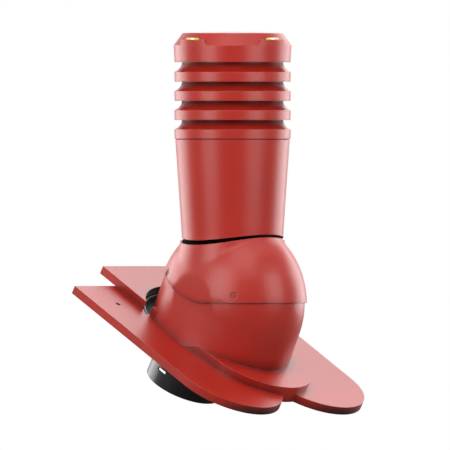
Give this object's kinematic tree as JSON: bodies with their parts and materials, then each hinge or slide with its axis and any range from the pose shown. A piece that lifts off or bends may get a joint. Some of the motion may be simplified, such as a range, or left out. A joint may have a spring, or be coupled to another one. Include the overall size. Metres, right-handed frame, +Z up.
{
  "type": "roof tile vent",
  "caption": "Roof ventilation terminal on a plain-tile base: a ball dome turns to suit the roof pitch and carries a tapered pipe with a louvred head, cap and spirit levels.",
  "frame": {"origin": "centre of the round duct spigot where it leaves the flange under the tile", "axes": "+Z up along the pipe on a 30 degree roof, +X along the eaves, -Y down the slope; the tile lies in the roof's plane, 30 degrees off level"},
  "size_m": [0.36, 0.3633, 0.5985],
  "materials": {
    "roof_red": "satin",
    "black_plastic": "satin",
    "duct_grey": "matte",
    "insulation": "matte",
    "seal_rubber": "matte",
    "screw_steel": "brushed",
    "vial_clear": "gloss",
    "vial_fluid": "gloss"
  },
  "bodies": {
    "base": {"tile_base": "roof_red", "duct_socket": "black_plastic", "flange_gasket": "seal_rubber", "flange_screws": "screw_steel", "cup_seal": "seal_rubber"},
    "head": {"dome_shell": "roof_red", "clamp_screws": "screw_steel", "outer_pipe": "roof_red", "inner_duct": "duct_grey", "insulation_left": "insulation", "insulation_right": "insulation", "head_base": "roof_red", "louvre_ring_1": "roof_red", "louvre_ring_2": "roof_red", "louvre_ring_3": "roof_red", "cap": "roof_red", "tie_screws": "screw_steel", "level_vial_right": "vial_clear", "level_vial_left": "vial_clear", "level_fluid_right": "vial_fluid", "level_fluid_left": "vial_fluid"}
  },
  "joints": [
    {"name": "pitch_hinge", "type": "hinge", "parent": "base", "child": "head", "pos_m": [0, -0.06563, 0.05368], "axis": [1, 0, 0], "range_deg": [0, 25]}
  ]
}
